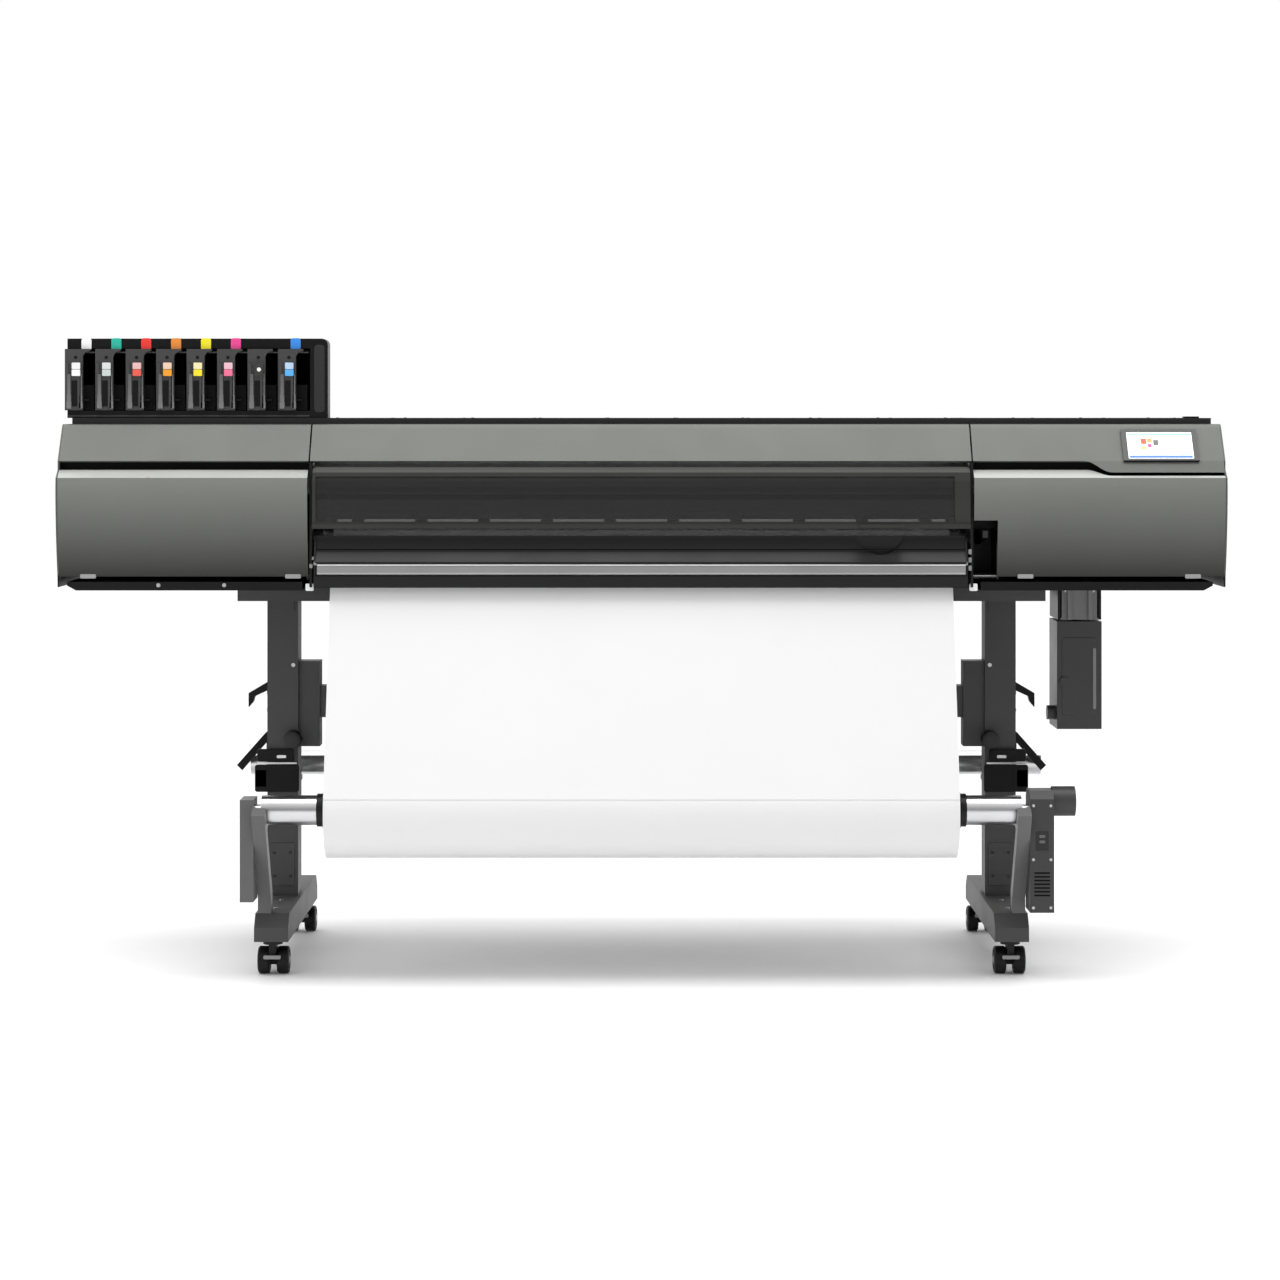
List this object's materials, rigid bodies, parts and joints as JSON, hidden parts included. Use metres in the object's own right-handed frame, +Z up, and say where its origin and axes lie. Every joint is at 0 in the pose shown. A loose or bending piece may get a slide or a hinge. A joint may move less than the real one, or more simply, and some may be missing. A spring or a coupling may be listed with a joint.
{
  "type": "printer cutter",
  "caption": "Wide-format roll-fed printer and cutter on a caster stand, with ink tray rack, windowed front cover, print and cut carriages and a take-up roll.",
  "frame": {"origin": "on the floor, centred under the whole machine", "axes": "+X to the operator's right along the carriage rail, +Y from the operator to the back, +Z up"},
  "size_m": [2.86, 0.9736, 1.556],
  "materials": {
    "stand_paint": "satin powder coat",
    "black_metal": "satin black",
    "frame_steel": "satin black",
    "beam_aluminium": "anodised",
    "platen_steel": "fine brushed",
    "apron_black": "semi-gloss black",
    "upper_grey": "fine metallic satin",
    "service_grey": "fine metallic satin",
    "rear_black": "textured powder coat",
    "deck_black": "fine texture",
    "rack_black": "satin",
    "tray_black": "satin",
    "screen_bezel": "gloss",
    "belt_rubber": "ribbed",
    "motor_black": "semi-gloss",
    "media_white": "smooth",
    "arm_grey": "satin powder coat",
    "drive_black": "fine texture",
    "hanger_black": "fine texture",
    "holder_grey": "satin",
    "bottle_dark": "fine texture",
    "board_green": "solder resist",
    "screw_steel": "plated",
    "lid_grey": "satin",
    "window_tint": "tinted gloss",
    "carriage_black": "satin",
    "cutter_aluminium": "machined",
    "blade_steel": "polished",
    "roller_steel": "knurled",
    "arm_steel": "satin",
    "pinch_rubber": "smooth",
    "lever_black": "satin",
    "pulley_aluminium": "turned",
    "cap_plastic": "satin",
    "rocker_black": "gloss",
    "caster_black": "satin",
    "caster_nylon": "satin"
  },
  "bodies": {
    "root": {"left_leg": "stand_paint", "right_leg": "stand_paint", "stand_beam": "stand_paint", "base_pan": "black_metal", "side_frames": "frame_steel", "main_beam": "beam_aluminium", "platen": "platen_steel", "front_apron": "apron_black", "left_upper_cover": "upper_grey", "top_cover": "upper_grey", "right_upper_cover": "upper_grey", "left_end_cover": "service_grey", "right_end_cover": "service_grey", "rear_cover": "rear_black", "top_deck": "deck_black", "ink_rack": "rack_black", "touch_screen": "screen_bezel", "drive_belt": "belt_rubber", "drive_motors": "motor_black", "media_web": "media_white", "takeup_arms": "arm_grey", "takeup_motor": "drive_black", "supply_hangers": "hanger_black", "drain_holder": "holder_grey", "electronics": "board_green", "fasteners": "screw_steel"},
    "front_cover": {"front_cover": "lid_grey", "front_window": "window_tint"},
    "left_service_cover": {"left_service_cover": "service_grey"},
    "right_service_cover": {"right_service_cover": "service_grey"},
    "print_carriage": {"print_carriage": "carriage_black"},
    "cut_carriage": {"cut_carriage": "cutter_aluminium"},
    "blade_holder": {"blade_holder": "blade_steel"},
    "grit_roller": {"grit_roller": "roller_steel"},
    "pinch_arms": {"pinch_arms": "arm_steel"},
    "pinch_rollers": {"pinch_rollers": "pinch_rubber"},
    "loading_lever": {"loading_lever": "lever_black"},
    "drive_pulley": {"drive_pulley": "pulley_aluminium"},
    "idler_pulley": {"idler_pulley": "pulley_aluminium"},
    "takeup_roll": {"takeup_roll": "media_white"},
    "supply_roll": {"supply_roll": "media_white"},
    "cap_station": {"cap_station": "cap_plastic"},
    "drain_bottle": {"drain_bottle": "bottle_dark"},
    "power_rocker": {"power_rocker": "rocker_black"},
    "ink_tray_1": {"ink_tray_1": "tray_black"},
    "ink_tray_2": {"ink_tray_2": "tray_black"},
    "ink_tray_3": {"ink_tray_3": "tray_black"},
    "ink_tray_4": {"ink_tray_4": "tray_black"},
    "ink_tray_5": {"ink_tray_5": "tray_black"},
    "ink_tray_6": {"ink_tray_6": "tray_black"},
    "ink_tray_7": {"ink_tray_7": "tray_black"},
    "ink_tray_8": {"ink_tray_8": "tray_black"},
    "caster_fork_fl": {"caster_fork_fl": "caster_black"},
    "caster_wheels_fl": {"caster_wheels_fl": "caster_nylon"},
    "caster_fork_fr": {"caster_fork_fr": "caster_black"},
    "caster_wheels_fr": {"caster_wheels_fr": "caster_nylon"},
    "caster_fork_rl": {"caster_fork_rl": "caster_black"},
    "caster_wheels_rl": {"caster_wheels_rl": "caster_nylon"},
    "caster_fork_rr": {"caster_fork_rr": "caster_black"},
    "caster_wheels_rr": {"caster_wheels_rr": "caster_nylon"}
  },
  "joints": [
    {"name": "front_cover_hinge", "type": "hinge", "parent": "root", "child": "front_cover", "pos_m": [0, -0.297, 1.243], "axis": [-1, 0, 0], "range_deg": [0, 75]},
    {"name": "left_service_cover_hinge", "type": "hinge", "parent": "root", "child": "left_service_cover", "pos_m": [-1.12, -0.292, 0.97], "axis": [1, 0, 0], "range_deg": [0, 65]},
    {"name": "right_service_cover_hinge", "type": "hinge", "parent": "root", "child": "right_service_cover", "pos_m": [1.12, -0.292, 0.97], "axis": [1, 0, 0], "range_deg": [0, 65]},
    {"name": "print_carriage_slide", "type": "slide", "parent": "root", "child": "print_carriage", "axis": [1, 0, 0], "range_m": [-1.81, 0]},
    {"name": "cut_carriage_slide", "type": "slide", "parent": "root", "child": "cut_carriage", "axis": [1, 0, 0], "range_m": [0, 1.77]},
    {"name": "blade_holder_slide", "type": "slide", "parent": "cut_carriage", "child": "blade_holder", "axis": [0, 0, -1], "range_m": [0, 0.005], "stiffness_N_per_m": 800, "springref_m": -0.006},
    {"name": "grit_roller_spin", "type": "hinge", "parent": "root", "child": "grit_roller", "pos_m": [0, -0.02, 1.073], "axis": [1, 0, 0], "continuous": true},
    {"name": "pinch_arms_lift", "type": "hinge", "parent": "root", "child": "pinch_arms", "pos_m": [0, 0.06, 1.112], "axis": [1, 0, 0], "range_deg": [-10, 0]},
    {"name": "pinch_rollers_spin", "type": "hinge", "parent": "pinch_arms", "child": "pinch_rollers", "pos_m": [0, -0.02, 1.0932], "axis": [1, 0, 0], "continuous": true},
    {"name": "loading_lever_turn", "type": "hinge", "parent": "root", "child": "loading_lever", "pos_m": [0.84, -0.15, 1.06], "axis": [1, 0, 0], "range_deg": [0, 25]},
    {"name": "drive_pulley_spin", "type": "hinge", "parent": "root", "child": "drive_pulley", "pos_m": [1.3, 0.055, 1.298], "axis": [0, 0, 1], "range_deg": [-3700, 20]},
    {"name": "idler_pulley_spin", "type": "hinge", "parent": "root", "child": "idler_pulley", "pos_m": [-1.3, 0.055, 1.298], "axis": [0, 0, 1], "range_deg": [-3700, 20]},
    {"name": "takeup_roll_spin", "type": "hinge", "parent": "root", "child": "takeup_roll", "pos_m": [0, -0.372, 0.408], "axis": [1, 0, 0], "continuous": true},
    {"name": "supply_roll_spin", "type": "hinge", "parent": "root", "child": "supply_roll", "pos_m": [0, 0.362, 0.443], "axis": [1, 0, 0], "continuous": true},
    {"name": "cap_station_lift", "type": "slide", "parent": "root", "child": "cap_station", "axis": [0, 0, 1], "range_m": [-0.02, 0]},
    {"name": "drain_bottle_slide", "type": "slide", "parent": "root", "child": "drain_bottle", "axis": [0, -1, 0], "range_m": [0, 0.2]},
    {"name": "power_rocker_tilt", "type": "hinge", "parent": "root", "child": "power_rocker", "pos_m": [1.202, 0.222, 1.015], "axis": [1, 0, 0], "range_deg": [-7, 7]},
    {"name": "ink_tray_1_slide", "type": "slide", "parent": "root", "child": "ink_tray_1", "axis": [0, -1, 0], "range_m": [0, 0.3]},
    {"name": "ink_tray_2_slide", "type": "slide", "parent": "root", "child": "ink_tray_2", "axis": [0, -1, 0], "range_m": [0, 0.3]},
    {"name": "ink_tray_3_slide", "type": "slide", "parent": "root", "child": "ink_tray_3", "axis": [0, -1, 0], "range_m": [0, 0.3]},
    {"name": "ink_tray_4_slide", "type": "slide", "parent": "root", "child": "ink_tray_4", "axis": [0, -1, 0], "range_m": [0, 0.3]},
    {"name": "ink_tray_5_slide", "type": "slide", "parent": "root", "child": "ink_tray_5", "axis": [0, -1, 0], "range_m": [0, 0.3]},
    {"name": "ink_tray_6_slide", "type": "slide", "parent": "root", "child": "ink_tray_6", "axis": [0, -1, 0], "range_m": [0, 0.3]},
    {"name": "ink_tray_7_slide", "type": "slide", "parent": "root", "child": "ink_tray_7", "axis": [0, -1, 0], "range_m": [0, 0.3]},
    {"name": "ink_tray_8_slide", "type": "slide", "parent": "root", "child": "ink_tray_8", "axis": [0, -1, 0], "range_m": [0, 0.3]},
    {"name": "caster_swivel_fl", "type": "hinge", "parent": "root", "child": "caster_fork_fl", "pos_m": [-0.9, -0.32, 0.0837], "axis": [0, 0, 1], "continuous": true},
    {"name": "caster_roll_fl", "type": "hinge", "parent": "caster_fork_fl", "child": "caster_wheels_fl", "pos_m": [-0.9, -0.298, 0.033], "axis": [1, 0, 0], "continuous": true},
    {"name": "caster_swivel_fr", "type": "hinge", "parent": "root", "child": "caster_fork_fr", "pos_m": [0.9, -0.32, 0.0837], "axis": [0, 0, 1], "continuous": true},
    {"name": "caster_roll_fr", "type": "hinge", "parent": "caster_fork_fr", "child": "caster_wheels_fr", "pos_m": [0.9, -0.298, 0.033], "axis": [1, 0, 0], "continuous": true},
    {"name": "caster_swivel_rl", "type": "hinge", "parent": "root", "child": "caster_fork_rl", "pos_m": [-0.9, 0.32, 0.0837], "axis": [0, 0, 1], "continuous": true},
    {"name": "caster_roll_rl", "type": "hinge", "parent": "caster_fork_rl", "child": "caster_wheels_rl", "pos_m": [-0.9, 0.342, 0.033], "axis": [1, 0, 0], "continuous": true},
    {"name": "caster_swivel_rr", "type": "hinge", "parent": "root", "child": "caster_fork_rr", "pos_m": [0.9, 0.32, 0.0837], "axis": [0, 0, 1], "continuous": true},
    {"name": "caster_roll_rr", "type": "hinge", "parent": "caster_fork_rr", "child": "caster_wheels_rr", "pos_m": [0.9, 0.342, 0.033], "axis": [1, 0, 0], "continuous": true}
  ],
  "couplings": [
    {"joint": "drive_pulley_spin", "follows": "print_carriage_slide", "rad_per_m": 34.722},
    {"joint": "idler_pulley_spin", "follows": "print_carriage_slide", "rad_per_m": 34.722},
    {"joint": "pinch_rollers_spin", "follows": "grit_roller_spin", "ratio": -0.9},
    {"joint": "loading_lever_turn", "follows": "pinch_arms_lift", "ratio": -2.5}
  ]
}
